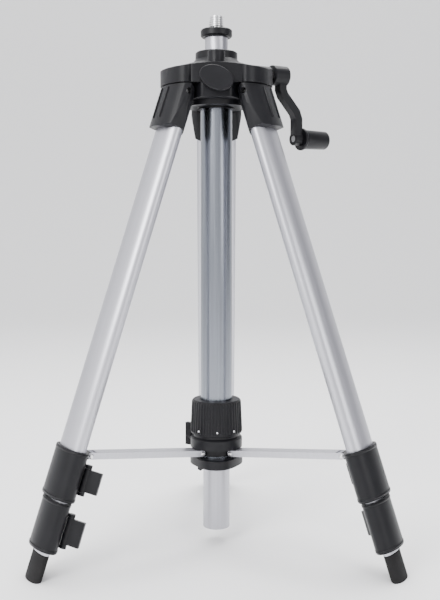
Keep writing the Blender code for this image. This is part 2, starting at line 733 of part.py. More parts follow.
def crank_handle():
    start = arm_outer_face() + GAP + SLIDE
    end = arm_outer_face() + HANDLE_LENGTH
    recess = end - 4 * MM - SLIDE
    profile = [
        (SPINDLE_RADIUS + 2 * MM + SLIDE, end),
        (0.86 * HANDLE_RADIUS, end),
        (0.94 * HANDLE_RADIUS, end - 1.5 * MM),
        (HANDLE_RADIUS, start + 4 * MM),
        (HANDLE_RADIUS + 1.6 * MM, start + 2.5 * MM),
        (HANDLE_RADIUS + 1.6 * MM, start),
        (SPINDLE_RADIUS + SLIDE, start),
        (SPINDLE_RADIUS + SLIDE, recess),
        (SPINDLE_RADIUS + 2 * MM + SLIDE, recess),
    ]
    return finish(turned("crank_handle", profile, closed=True), "crank_handle", "black_plastic", HANDLE)


# ---- lock knob ----------------------------------------------------------------------


def lock_knob():
    """A screw and an oval thumb piece, on the knob's own frame with its axis on Z."""
    knob = cylinder("lock_knob", LOCK_SCREW, (0, 0, GUIDE_RADIUS + 3 * MM), (0, 0, KNOB_INNER + 3 * MM))
    grip = prism("knob grip", [oval(KNOB_HALF_HEIGHT, KNOB_HALF_LENGTH)], KNOB_INNER + MM, KNOB_OUTER)
    join(knob, hang(grip, LOCK))
    return finish(knob, "lock_knob", "black_plastic", LOCK)


def column_brake_shoe():
    start, end = COLUMN_RADIUS + GAP, GUIDE_RADIUS + 3 * MM - GAP
    shoe = cylinder("column_brake_shoe", LOCK_SCREW, (0, -start, LOCK_HEIGHT), (0, -end, LOCK_HEIGHT))
    return finish(shoe, "column_brake_shoe", "black_rubber", COLUMN)


# ---- spreader -----------------------------------------------------------------------


def spreader_collar():
    bore = GUIDE_RADIUS + SLIDE
    profile = [
        (COLLAR_TOP_RADIUS - MM, COLLAR_TOP),
        (COLLAR_TOP_RADIUS, COLLAR_TOP - MM),
        (COLLAR_BOTTOM_RADIUS, COLLAR_BOTTOM),
        (COLLAR_BOTTOM_RADIUS - 2.5 * MM, COLLAR_BOTTOM - MM),
        (COLLAR_BOTTOM_RADIUS - 2.5 * MM, CARRIAGE_FLANGE_TOP + MM),
        (CARRIAGE_FLANGE_RADIUS - MM, CARRIAGE_FLANGE_TOP),
        (CARRIAGE_FLANGE_RADIUS, CARRIAGE_FLANGE_TOP - MM),
        (CARRIAGE_FLANGE_RADIUS, CARRIAGE_FLANGE_BOTTOM),
        (bore, CARRIAGE_FLANGE_BOTTOM),
        (bore, COLLAR_TOP),
    ]
    collar = turned("spreader_collar", [(r, z - HUB_Z) for r, z in profile], closed=True, steps=32)
    height = COLLAR_BOTTOM - 6 * MM
    boss = cylinder("wing boss", 5 * MM, wing_point(bore + 3 * MM, height), wing_point(WING_INNER - GAP, height))
    hole = cylinder("wing hole", 3 * MM + GAP, wing_point(0, height), wing_point(WING_INNER + MM, height))
    join(collar, hang(boss, CARRIAGE))
    cut(collar, hang(hole, CARRIAGE))
    return finish(collar, "spreader_collar", "black_plastic", CARRIAGE)


def wing_point(r, z):
    """A point in the carriage's frame, in the direction of its lock knob."""
    return (r * cos(WING_AZIMUTH), r * sin(WING_AZIMUTH), z - HUB_Z)


def spreader_knob():
    """A wing screw: its wing stands upright at rest."""
    knob = cylinder("spreader_knob", 3 * MM, (0, 0, GUIDE_RADIUS + SLIDE + GAP), (0, 0, WING_INNER + 2 * MM))
    disc = cylinder("wing disc", 6 * MM, (0, 0, WING_INNER), (0, 0, WING_INNER + 3.5 * MM))
    low, high = (-2.4 * MM, -WING_LENGTH / 2, WING_INNER + MM), (2.4 * MM, WING_LENGTH / 2, WING_INNER + 9 * MM)
    join(knob, hang(disc, WING), hang(box("wing blade", low, high), WING))
    return finish(knob, "spreader_knob", "black_plastic", WING)


def spreader_hub():
    """A thin ring under the collar with a lug inside each brace."""
    bore = GUIDE_RADIUS + SLIDE
    half = BRACE_WIDTH / 2 - BRACE_WALL - GAP
    low, high = -BRACE_HEIGHT / 2, CARRIAGE_FLANGE_BOTTOM - GAP - HUB_Z
    hub = ring("spreader_hub", bore + 1.1 * MM, bore, low, high, steps=32)
    for side, azimuth in LEGS.items():
        lug = box(f"hub lug {side}", (bore + 0.4 * MM, -half, low), (HUB_R + BRACE_HEIGHT / 2, half, high))
        join(hub, hang(lug, CARRIAGE, turned_about_z(azimuth)))
    for side, azimuth in LEGS.items():
        hole = cylinder(f"hub hole {side}", RIVET_RADIUS + GAP, (HUB_R, -2 * half, 0), (HUB_R, 2 * half, 0), 16)
        cut(hub, hang(hole, CARRIAGE, turned_about_z(azimuth)))
    clear = cylinder("hub bore", bore, (0, 0, 2 * low), (0, 0, 2 * high), 32)
    cut(hub, hang(clear, CARRIAGE))
    return finish(hub, "spreader_hub", "black_plastic", CARRIAGE)


def rivet(name, frame, matrix):
    """A rivet across a brace's end, with a head outside each of its cheeks."""
    half = BRACE_WIDTH / 2 + GAP
    head = half + 1.2 * MM
    profile = [
        (0, head),
        (0.6 * RIVET_HEAD, head),
        (RIVET_HEAD, half + 0.5 * MM),
        (RIVET_HEAD, half),
        (RIVET_RADIUS, half),
        (RIVET_RADIUS, -half),
        (RIVET_HEAD, -half),
        (RIVET_HEAD, -half - 0.5 * MM),
        (0.6 * RIVET_HEAD, -head),
        (0, -head),
    ]
    across = Matrix.Rotation(-pi / 2, 4, "X")
    return finish(turned(name, profile, steps=12), name, "bright_steel", frame, matrix @ across)


def brace_length():
    return hypot(BRACE_FOOT_R - HUB_R, BRACE_FOOT_Z - HUB_Z)


def brace(side, frame):
    """A channel, open below, forked at both ends round the lugs that it turns on."""
    length, half = brace_length(), BRACE_HEIGHT / 2
    inside = BRACE_WIDTH / 2 - BRACE_WALL
    ends = [*arc((0, 0), half, pi / 2, 3 * pi / 2, 8), *arc((length, 0), half, -pi / 2, pi / 2, 8)]
    channel = side_prism(f"brace_{side}", ends, -BRACE_WIDTH / 2, BRACE_WIDTH / 2)
    fork = half + 3.5 * MM
    hollow = box(f"channel {side}", (fork - MM, -inside, -2 * half), (length - fork + MM, inside, half - BRACE_WALL))
    inner = box(f"inner fork {side}", (-2 * half, -inside, -2 * half), (fork, inside, 2 * half))
    outer = box(f"outer fork {side}", (length - fork, -inside, -2 * half), (length + 2 * half, inside, 2 * half))
    cut(channel, hang(hollow, frame), hang(inner, frame), hang(outer, frame))
    for end in (0, length):
        hole = cylinder(f"rivet hole {side}", RIVET_RADIUS + GAP, (end, -BRACE_WIDTH, 0), (end, BRACE_WIDTH, 0), 16)
        cut(channel, hang(hole, frame))
    return finish(channel, f"brace_{side}", "satin_aluminium", frame)


# ---- legs ---------------------------------------------------------------------------


def tube_between(name, size, bottom, top):
    outer, inner = oval(*size), oval(*grown(size, -TUBE_WALL))
    return prism(name, [outer, inner], leg_s(bottom), leg_s(top))


def knuckle_shield():
    """The knuckle seen along the leg's depth, in (sideways, along): broad at the top."""
    low, high = leg_s(KNUCKLE_BOTTOM), leg_s(KNUCKLE_TOP) + 8 * MM
    waist = leg_s(KNUCKLE_BOTTOM + 14 * MM)
    narrow = UPPER_OVAL[0] + 1.6 * MM
    right = [(0.55 * narrow, low), (narrow, low + 3.5 * MM), (narrow + 2 * MM, waist)]
    right += [(KNUCKLE_HALF_WIDTH, waist + 14 * MM), (KNUCKLE_HALF_WIDTH, high)]
    return right + [(-x, z) for x, z in reversed(right)]


def knuckle(side, leg, upright):
    """The leg's top casting: a clevis round the shoulder's tongue, over the upper tube."""
    middle = leg_s(KNUCKLE_BOTTOM)
    body = prism(f"knuckle_{side}", [oval(KNUCKLE_HALF_WIDTH, KNUCKLE_HALF_DEPTH, 28)],
                 middle, leg_s(KNUCKLE_TOP) + 10 * MM)
    body.data.transform(Matrix.Translation((KNUCKLE_SHIFT, 0, 0)))
    shield = side_prism(f"shield {side}", knuckle_shield(), -3 * KNUCKLE_HALF_DEPTH, 3 * KNUCKLE_HALF_DEPTH)
    shield.data.transform(Matrix.Rotation(pi / 2, 4, "Z"))
    round_off = PIVOT_R - KNUCKLE_INNER
    sides = [
        (KNUCKLE_INNER, PIVOT_Z + 2 * MM),
        (KNUCKLE_INNER + round_off - 2 * MM, KNUCKLE_TOP),
        (2 * PIVOT_R, KNUCKLE_TOP),
        (2 * PIVOT_R, KNUCKLE_BOTTOM - 10 * MM),
        (KNUCKLE_INNER, KNUCKLE_BOTTOM - 10 * MM),
    ]
    profile = side_prism(f"knuckle sides {side}", sides, -2 * KNUCKLE_HALF_WIDTH, 2 * KNUCKLE_HALF_WIDTH)
    common(body, hang(shield, leg), hang(profile, upright))
    half = TONGUE_HALF_WIDTH + SLIDE + GAP
    wall = KNUCKLE_SHIFT + KNUCKLE_HALF_DEPTH - 3.5 * MM
    slot = box(f"slot {side}", (-3 * KNUCKLE_HALF_DEPTH, -half, leg_s(UPPER_TUBE_TOP + 8 * MM)),
               (wall, half, leg_s(KNUCKLE_TOP) + 20 * MM))
    socket = prism(f"socket {side}", [oval(*grown(UPPER_OVAL, GAP))],
                   leg_s(KNUCKLE_BOTTOM) - 5 * MM, leg_s(UPPER_TUBE_TOP) + GAP)
    reach_out = 2 * KNUCKLE_HALF_WIDTH
    hole = cylinder(f"pivot hole {side}", PIVOT_PIN + GAP, (PIVOT_R, -reach_out, PIVOT_Z), (PIVOT_R, reach_out, PIVOT_Z))
    cut(body, hang(slot, leg), hang(socket, leg), hang(hole, upright))
    return finish(body, f"knuckle_{side}", "black_plastic", leg)


def pivot_pin(side, upright):
    half = KNUCKLE_HALF_WIDTH - 8 * MM
    pin = cylinder(f"pivot_pin_{side}", PIVOT_PIN, (PIVOT_R, -half, PIVOT_Z), (PIVOT_R, half, PIVOT_Z), 16)
    return finish(pin, f"pivot_pin_{side}", "gear_steel", upright)


def clamp_stop(ends):
    """Where the bigger tube ends inside the sleeve, along the leg."""
    return leg_s(ends[0]) + 0.35 * (leg_s(ends[1]) - leg_s(ends[0]))


def clamp(name, size, ends, lever_ends, tubes, leg):
    """A sleeve on the bigger tube's end, with the smaller tube sliding through it."""
    low, high = leg_s(ends[0]), leg_s(ends[1])
    body = prism(name, [oval(*size, 28)], low, high)
    add_lever_ears(body, name, size, lever_ends, leg)
    outer, inner = tubes
    stop = clamp_stop(ends)
    wide = prism(f"{name} wide", [oval(*grown(outer, GAP))], stop, high + MM)
    narrow = prism(f"{name} narrow", [oval(*grown(inner, SLIDE))], low - MM, stop + MM)
    return cut(body, hang(wide, leg), hang(narrow, leg))


def lever_pivot(size):
    """Where the lever's pivot lies on the clamp's outline."""
    direction = Vector((cos(LEVER_TURN), sin(LEVER_TURN)))
    reach_out = 1 / hypot(direction.x / size[1], direction.y / size[0])
    return direction * (reach_out + LEVER_HUB + SLIDE + GAP)


def lever(name, ends, leg_frame):
    """A cam lever: a round hub on its pivot and a flat paddle pointing away from the leg."""
    low, high = leg_s(ends[0]), leg_s(ends[1])
    middle = (low + high) / 2
    hub = cylinder(name, LEVER_HUB, (0, 0, low - middle), (0, 0, high - middle), 20)
    paddle = box(f"{name} paddle", (0, -LEVER_THICK / 2, low - middle + MM),
                 (LEVER_LENGTH - LEVER_HUB, LEVER_THICK / 2, high - middle - MM))
    return finish(join(hub, hang(paddle, leg_frame)), name, "black_plastic", leg_frame)


def lever_frame(name, size, ends, leg):
    pivot = lever_pivot(size)
    height = (leg_s(ends[0]) + leg_s(ends[1])) / 2
    return empty(name, Matrix.Translation((*pivot, height)) @ turned_about_z(LEVER_TURN), leg)


def upper_clamp(side, leg, upright):
    """The sleeve at the upper tube's end, with the lug that the brace pushes on."""
    tubes = (UPPER_OVAL, MIDDLE_OVAL)
    body = clamp(f"upper_clamp_{side}", UPPER_CLAMP, UPPER_CLAMP_ENDS, UPPER_LEVER_ENDS, tubes, leg)
    half = BRACE_WIDTH / 2 - BRACE_WALL - GAP
    low, high = BRACE_FOOT_Z - BRACE_HEIGHT / 2, BRACE_FOOT_Z + BRACE_HEIGHT / 2
    end = leg_r(BRACE_FOOT_Z) - UPPER_OVAL[1] - 2.2 * MM
    inset = 0.2 * MM
    lug = box(f"lug {side}", (BRACE_FOOT_R, inset - half, low + inset), (end, half - inset, high - inset))
    pin_start, pin_end = (BRACE_FOOT_R, -half, BRACE_FOOT_Z), (BRACE_FOOT_R, half, BRACE_FOOT_Z)
    nose = cylinder(f"lug nose {side}", BRACE_HEIGHT / 2, pin_start, pin_end, 20)
    join(body, hang(lug, upright), hang(nose, upright))
    hole = cylinder(f"lug hole {side}", RIVET_RADIUS + GAP, (BRACE_FOOT_R, -2 * half, BRACE_FOOT_Z),
                    (BRACE_FOOT_R, 2 * half, BRACE_FOOT_Z), 16)
    cut(body, hang(hole, upright))
    return finish(body, f"upper_clamp_{side}", "black_plastic", leg)


def add_lever_ears(body, label, size, ends, leg):
    """A small ear above and below the lever, which its pivot runs between."""
    pivot = lever_pivot(size)
    inward = -pivot.normalized()
    for name, bottom, top in (("lower", leg_s(ends[0]) - GAP - 3 * MM, leg_s(ends[0]) - GAP),
                              ("upper", leg_s(ends[1]) + GAP, leg_s(ends[1]) + GAP + 3 * MM)):
        ear = cylinder(f"{name} ear {label}", LEVER_HUB, (*pivot, bottom), (*pivot, top), 20)
        low, high = (0, -0.8 * LEVER_HUB, bottom + 0.2 * MM), (2.5 * LEVER_HUB, 0.8 * LEVER_HUB, top - 0.2 * MM)
        root = box(f"{name} ear root {label}", low, high)
        matrix = Matrix.Translation((*pivot, 0)) @ turned_about_z(atan2(inward.y, inward.x))
        join(body, hang(ear, leg), hang(root, leg, matrix))


def foot(side, leg):
    """A rubber foot, cut flat along the floor, plugged into the lower tube."""
    body = prism(f"foot_{side}", [oval(*LOWER_OVAL)], -20 * MM, leg_s(FOOT_TOP))
    plug = prism(f"foot plug {side}", [oval(*grown(LOWER_OVAL, -TUBE_WALL - GAP))],
                 leg_s(FOOT_TOP) - MM, leg_s(FOOT_TOP) + FOOT_PLUG)
    floor = box(f"floor {side}", (-FOOT_RADIUS, -FOOT_RADIUS, -60 * MM), (2 * FOOT_RADIUS, FOOT_RADIUS, 0))
    join(body, hang(plug, leg))
    cut(body, hang(floor, COLUMN, turned_about_z(LEGS[side])))
    return finish(body, f"foot_{side}", "black_rubber", leg)


def build_leg(side):
    azimuth = LEGS[side]
    radial = Vector((cos(azimuth), sin(azimuth), 0))
    hub = radial * HUB_R
    brace_frame = empty(f"brace_{side}_pivot", Matrix.Translation(hub) @ turned_about_z(azimuth), CARRIAGE)
    rise = atan2(BRACE_FOOT_Z - HUB_Z, BRACE_FOOT_R - HUB_R)
    brace_line = empty(f"brace_{side}_line", Matrix.Rotation(-rise, 4, "Y"), brace_frame)
    brace(side, brace_line)
    rivet(f"brace_hub_rivet_{side}", brace_frame, Matrix.Identity(4))

    foot_point = Matrix.Translation((BRACE_FOOT_R - HUB_R, 0, BRACE_FOOT_Z - HUB_Z))
    leg_pivot = empty(f"leg_{side}_pivot", foot_point, brace_frame)
    rivet(f"brace_leg_rivet_{side}", leg_pivot, Matrix.Identity(4))
    upright = empty(f"leg_{side}_upright", Matrix.Translation((-BRACE_FOOT_R, 0, -BRACE_FOOT_Z)), leg_pivot)
    axis = Matrix.Translation((FOOT_RADIUS, 0, 0)) @ Matrix.Rotation(-LEG_TILT, 4, "Y")
    leg = empty(f"leg_{side}_axis", axis, upright)

    knuckle(side, leg, upright)
    pivot_pin(side, upright)
    upper_end = (clamp_stop(UPPER_CLAMP_ENDS) + GAP) * cos(LEG_TILT)
    upper = tube_between(f"upper_tube_{side}", UPPER_OVAL, upper_end, UPPER_TUBE_TOP)
    finish(upper, f"upper_tube_{side}", "satin_aluminium", leg)
    upper_clamp(side, leg, upright)
    upper_frame = lever_frame(f"upper_lever_{side}_pivot", UPPER_CLAMP, UPPER_LEVER_ENDS, leg)
    lever(f"upper_lever_{side}", UPPER_LEVER_ENDS, upper_frame)

    middle = empty(f"middle_{side}_slide", Matrix.Identity(4), leg)
    tubes = (MIDDLE_OVAL, LOWER_OVAL)
    body = clamp(f"lower_clamp_{side}", LOWER_CLAMP, LOWER_CLAMP_ENDS, LOWER_LEVER_ENDS, tubes, middle)
    finish(body, f"lower_clamp_{side}", "black_plastic", middle)
    middle_end = (clamp_stop(LOWER_CLAMP_ENDS) + GAP) * cos(LEG_TILT)
    tube = tube_between(f"middle_tube_{side}", MIDDLE_OVAL, middle_end, MIDDLE_TUBE_TOP)
    finish(tube, f"middle_tube_{side}", "satin_aluminium", middle)
    lower_frame = lever_frame(f"lower_lever_{side}_pivot", LOWER_CLAMP, LOWER_LEVER_ENDS, middle)
    lever(f"lower_lever_{side}", LOWER_LEVER_ENDS, lower_frame)

    lower = empty(f"lower_{side}_slide", Matrix.Identity(4), middle)
    tube = tube_between(f"lower_tube_{side}", LOWER_OVAL, FOOT_TOP + GAP, LOWER_TUBE_TOP)
    finish(tube, f"lower_tube_{side}", "satin_aluminium", lower)
    foot(side, lower)


# ---- the object ---------------------------------------------------------------------

clear_scene()
PARTS = new_collection("laser_level_tripod")
CUTTERS = new_collection("cutters")
COLUMN = empty("column_axis", Matrix.Translation((0, COLUMN_Y, 0)))
RISER = empty("column_slide", Matrix.Identity(4), COLUMN)
CRANK = empty("crank_axis", Matrix.Translation(crank_point(0)) @ Matrix.Rotation(CRANK_AZIMUTH + pi / 2, 4, "Z")
              @ Matrix.Rotation(pi / 2, 4, "X"), COLUMN)
HANDLE = empty("handle_axis", Matrix.Translation((0, -CRANK_THROW, 0)), CRANK)
LOCK = empty("lock_axis", Matrix.Translation((0, 0, LOCK_HEIGHT)) @ Matrix.Rotation(pi / 2, 4, "X")
             @ turned_about_z(radians(-20)), COLUMN)
CARRIAGE = empty("carriage_slide", Matrix.Translation((0, 0, HUB_Z)), COLUMN)
WING = empty("wing_axis", Matrix.Translation((0, 0, COLLAR_BOTTOM - 6 * MM - HUB_Z))
             @ turned_about_z(WING_AZIMUTH + pi / 2) @ Matrix.Rotation(pi / 2, 4, "X"), CARRIAGE)

shoulder_casting()
column_bush()
guide_tube()
guide_tube_end_cup()
column_brake_shoe()
column_tube()
column_rack()
column_neck()
mounting_platform()
mounting_stud()
crank_shaft()
pinion_gear()
crank_arm()
handle_spindle()
crank_handle()
lock_knob()
spreader_collar()
spreader_hub()
spreader_knob()
for leg_side in LEGS:
    build_leg(leg_side)
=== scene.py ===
# %% [markdown]
# # An elevator tripod for a laser level
#
# The tripod is a cranked centre column held by three braced legs. Its shapes and joints come
# from the frame that is loaded here. This lesson gives each part a finished surface: rounded
# edges, turned threads, moulded ribs, brushed tubes and grained plastic.

import bmesh
import bpy
import json
from math import cos, pi, radians, sin
from mathutils import Matrix, Vector


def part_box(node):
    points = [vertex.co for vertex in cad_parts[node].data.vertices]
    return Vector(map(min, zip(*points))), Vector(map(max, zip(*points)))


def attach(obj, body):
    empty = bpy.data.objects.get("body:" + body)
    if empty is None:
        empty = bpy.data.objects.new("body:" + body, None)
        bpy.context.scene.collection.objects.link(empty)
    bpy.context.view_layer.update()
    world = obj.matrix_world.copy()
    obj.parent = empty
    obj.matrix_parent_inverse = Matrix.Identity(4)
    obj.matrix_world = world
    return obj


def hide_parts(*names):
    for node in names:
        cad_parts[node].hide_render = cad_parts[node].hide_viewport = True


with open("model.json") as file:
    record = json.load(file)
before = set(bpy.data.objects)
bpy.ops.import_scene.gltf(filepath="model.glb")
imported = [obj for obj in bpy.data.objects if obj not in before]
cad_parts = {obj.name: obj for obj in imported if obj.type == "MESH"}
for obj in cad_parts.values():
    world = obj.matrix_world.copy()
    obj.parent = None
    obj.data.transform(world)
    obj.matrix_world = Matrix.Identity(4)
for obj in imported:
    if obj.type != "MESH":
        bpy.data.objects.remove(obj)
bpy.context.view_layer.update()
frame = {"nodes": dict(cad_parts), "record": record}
NODES = frame["nodes"]
BEHAVIOUR = frame["record"]["behaviour"]
SLOTS = {part["node"]: part["material_slot"] for part in frame["record"]["subparts"]}
BODY_OF = {node: body for body, nodes in BEHAVIOUR["bodies"].items() for node in nodes}
MM = 0.001

# %% [markdown]
# ## Where things are
#
# The guide tube's box gives the column axis. The line that each leg's tubes follow is given as
# numbers: its turn about the column, its tilt and the radius of its foot.

# %% Measure the frame
tube_low, tube_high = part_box("column_guide_tube")
COLUMN = Vector(((tube_low.x + tube_high.x) / 2, (tube_low.y + tube_high.y) / 2, 0))
LEGS = {"left": radians(210), "right": radians(330), "rear": radians(90)}
LEG_TILT = radians(18.42)
FOOT_RADIUS = 203.4 * MM
print("column axis at", tuple(round(value, 4) for value in COLUMN))


# %% Leg directions
def leg_matrix(side):
    """The frame of a leg: X out of its flat side, Y across it and Z up along its axis."""
    turn = Matrix.Rotation(LEGS[side], 4, "Z")
    lean = Matrix.Rotation(-LEG_TILT, 4, "Y")
    return Matrix.Translation(COLUMN) @ turn @ Matrix.Translation((FOOT_RADIUS, 0, 0)) @ lean


def leg_direction(side):
    return (leg_matrix(side).to_3x3() @ Vector((0, 0, 1))).normalized()


# %% [markdown]
# ## Shader expressions
#
# A material graph is easier to read as arithmetic. The small class below wraps a socket, so an
# expression such as 0.4 + 0.1 * grain adds the Math nodes that it needs.


# %% Sockets that add up
class Signal:
    """One number socket of a graph, with Python's operators."""

    def __init__(self, graph, socket):
        self.graph = graph
        self.socket = socket

    def _maths(self, operation, first, second):
        return self.graph.node("ShaderNodeMath", {"operation": operation}, [first, second])

    def __add__(self, other):
        return self._maths("ADD", self, other)

    def __sub__(self, other):
        return self._maths("SUBTRACT", self, other)

    def __mul__(self, other):
        return self._maths("MULTIPLY", self, other)

    def __rsub__(self, other):
        return self._maths("SUBTRACT", other, self)

    __radd__ = __add__
    __rmul__ = __mul__


class Graph:
    """A material with one Principled shader, and a method that adds any other node."""

    def __init__(self, name):
        self.material = bpy.data.materials.new(name)
        self.material.use_nodes = True
        self.tree = self.material.node_tree
        self.shader = self.tree.nodes["Principled BSDF"]

    def node(self, kind, settings=None, values=(), output=0):
        made = self.tree.nodes.new(kind)
        for name, value in (settings or {}).items():
            setattr(made, name, value)
        pairs = values.items() if isinstance(values, dict) else enumerate(values)
        for key, value in pairs:
            self.feed(made.inputs[key], value)
        return Signal(self, made.outputs[output])

    def feed(self, socket, value):
        if isinstance(value, Signal):
            self.tree.links.new(value.socket, socket)
        else:
            socket.default_value = value

    def vector_maths(self, operation, values, output=0):
        return self.node("ShaderNodeVectorMath", {"operation": operation}, values, output)

    def place(self):
        return self.node("ShaderNodeTexCoord", output="Object")

    def noise(self, scale, detail=3.0, where=None):
        values = {"Vector": where or self.place(), "Scale": scale, "Detail": detail}
        return self.node("ShaderNodeTexNoise", values=values)

    def blend(self, mask, dark, light):
        made = self.tree.nodes.new("ShaderNodeMix")
        made.data_type = "RGBA"
        self.feed(made.inputs["Factor"], mask)
        self.feed(made.inputs[6], (*dark, 1))
        self.feed(made.inputs[7], (*light, 1))
        return Signal(self, made.outputs[2])

    def bump(self, height, strength, distance):
        values = {"Height": height, "Strength": strength, "Distance": distance}
        return self.node("ShaderNodeBump", values=values)

    def set(self, **inputs):
        for name, value in inputs.items():
            self.feed(self.shader.inputs[name.replace("_", " ")], value)
        return self.material


# %% [markdown]
# ## Moulded black plastic
#
# The castings, clamps, knobs and collar are glass-filled nylon. It is nearly black with a faint
# violet cast, and its fine spark-eroded grain spreads the highlights. Two noises make it: a fine
# one for the grain and a broad one for the uneven sheen of handled plastic.


# %% Black plastic
def moulded_plastic(name, grain=1400.0, roughness=0.36):
    graph = Graph(name)
    fine = graph.noise(grain)
    broad = graph.noise(45.0)
    colour = graph.blend(broad, (0.003, 0.003, 0.004), (0.008, 0.008, 0.010))
    rough = roughness - 0.06 + 0.12 * broad + 0.08 * fine
    relief = graph.bump(fine, 0.25, 0.00012)
    return graph.set(Base_Color=colour, Roughness=rough, Specular_IOR_Level=0.22, Normal=relief)


# %% [markdown]
# ## Drawn and polished aluminium
#
# A drawn tube carries faint lines along its length. The lines are a noise squeezed across the
# tube and stretched along it: the part of each position that runs along the tube is mostly
# taken away, so the pattern changes slowly in that direction and fast across it.


# %% Drawn metal
KEPT_ALONG = 0.985


def drawn_metal(name, along, dark, light, roughness, lines=420.0):
    graph = Graph(name)
    place = graph.place()
    axis = tuple(along)
    length = graph.vector_maths("DOT_PRODUCT", [place, axis], output=1)
    run = graph.vector_maths("SCALE", {"Vector": axis, "Scale": KEPT_ALONG * length})
    squeezed = graph.vector_maths("SUBTRACT", [place, run])
    streak = graph.noise(lines, 4.0, squeezed)
    broad = graph.noise(9.0, 2.0, squeezed)
    colour = graph.blend(0.6 * streak + 0.4 * broad, dark, light)
    rough = roughness - 0.05 + 0.14 * streak
    relief = graph.bump(streak, 0.08, 0.00005)
    return graph.set(Base_Color=colour, Roughness=rough, Metallic=1.0, Normal=relief)


# %% [markdown]
# ## Turned steel and rubber
#
# The stud, rivets and shafts are plated or bare steel with a fine turned grain. The feet are
# moulded rubber: matt, a little dusty, with a soft grain and no clear highlight.


# %% Steel and rubber
def turned_steel(name, light=0.72, roughness=0.2):
    graph = Graph(name)
    grain = graph.noise(1800.0)
    colour = graph.blend(grain, (0.8 * light,) * 3, (light, light, 1.02 * light))
    return graph.set(Base_Color=colour, Roughness=roughness + 0.12 * grain, Metallic=1.0)


def moulded_rubber(name):
    graph = Graph(name)
    fine, broad = graph.noise(900.0), graph.noise(60.0)
    colour = graph.blend(broad, (0.005, 0.005, 0.006), (0.014, 0.013, 0.013))
    relief = graph.bump(fine, 0.35, 0.0002)
    rough = 0.7 + 0.2 * fine
    return graph.set(Base_Color=colour, Roughness=rough, Specular_IOR_Level=0.25, Normal=relief)


UP = Vector((0, 0, 1))
PLASTIC = moulded_plastic("moulded_black_plastic")
RUBBER = moulded_rubber("moulded_rubber")
COLUMN_METAL = drawn_metal("satin_column_metal", UP, (0.36, 0.36, 0.39), (0.52, 0.52, 0.56), 0.36)
GUIDE_METAL = drawn_metal("polished_guide_metal", UP, (0.10, 0.11, 0.13), (0.33, 0.35, 0.39), 0.24)
LEG_DARK, LEG_LIGHT = (0.44, 0.44, 0.48), (0.60, 0.60, 0.64)
LEG_METAL = {
    side: drawn_metal(f"satin_leg_metal_{side}", leg_direction(side), LEG_DARK, LEG_LIGHT, 0.38)
    for side in LEGS
}
BRIGHT_STEEL = turned_steel("bright_plated_steel", 0.82, 0.14)
GEAR_STEEL = turned_steel("machined_steel", 0.45, 0.3)
print("materials:", len(bpy.data.materials))


# %% [markdown]
# ## Rounded edges
#
# A moulded or drawn part has no knife edges: a small radius catches the light along every
# corner. Each part of the frame is copied, its loose triangles are merged and its flat areas
# joined, and a Bevel modifier rounds what stays sharp. The copy then stands for the part.


# %% Which finish a part gets
def finish_for(node):
    slot = SLOTS[node]
    side = node.rsplit("_", 1)[-1]
    if slot == "satin_aluminium":
        return LEG_METAL.get(side, COLUMN_METAL)
    return {
        "polished_aluminium": GUIDE_METAL,
        "bright_steel": BRIGHT_STEEL,
        "gear_steel": GEAR_STEEL,
        "black_plastic": PLASTIC,
        "black_rubber": RUBBER,
    }[slot]


SMALL_BEVEL = 0.3
BEVELS = {
    "shoulder_casting": 1.2,
    "lock_knob": 2.2,
    "crank_arm": 1.2,
    "spreader_knob": 1.0,
    "foot": 1.6,
    "knuckle": 1.1,
    "upper_clamp": 0.9,
    "lower_clamp": 0.9,
    "upper_lever": 0.8,
    "lower_lever": 0.8,
}


def bevel_width(node):
    """The radius of a part's edges. Parts not listed get a small one."""
    matches = [width for start, width in BEVELS.items() if node.startswith(start)]
    return (matches[0] if matches else SMALL_BEVEL) * MM


# %% A finished copy
def add_piece(name, shape, body, material, smooth_angle=32):
    """Writes a bmesh to a new piece that rides on a body."""
    mesh = bpy.data.meshes.new(name)
    shape.to_mesh(mesh)
    shape.free()
    mesh.shade_smooth()
    mesh.set_sharp_from_angle(angle=radians(smooth_angle))
    piece = bpy.data.objects.new(name, mesh)
    bpy.context.scene.collection.objects.link(piece)
    mesh.materials.append(material)
    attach(piece, body)
    return piece


def finished_copy(node):
    shape = bmesh.new()
    shape.from_mesh(NODES[node].data)
    bmesh.ops.remove_doubles(shape, verts=shape.verts, dist=0.00002)
    bmesh.ops.dissolve_limit(shape, angle_limit=radians(1), verts=shape.verts, edges=shape.edges)
    piece = add_piece(f"{node}_finished", shape, BODY_OF[node], finish_for(node))
    bevel = piece.modifiers.new("Rounded edges", "BEVEL")
    bevel.width = bevel_width(node)
    bevel.segments = 3
    bevel.limit_method = "ANGLE"
    bevel.angle_limit = radians(38)
    bevel.harden_normals = True
    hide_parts(node)
    return piece


HIDDEN_INSIDE = {"column_rack", "pinion_gear", "column_brake_shoe", "column_bush"}
MADE_BELOW = {"mounting_stud"}
for node in sorted(set(NODES) - HIDDEN_INSIDE - MADE_BELOW):
    finished_copy(node)
for node in HIDDEN_INSIDE:
    NODES[node].data.materials.clear()
    NODES[node].data.materials.append(finish_for(node))
print("finished copies:", len(NODES) - len(HIDDEN_INSIDE) - len(MADE_BELOW))

# %% [markdown]
# ## The threaded stud
#
# The instrument screws onto a coarse survey thread. A real thread is one ridge that winds up
# the core, so a four-cornered section is spun round the axis while it climbs one pitch a turn.

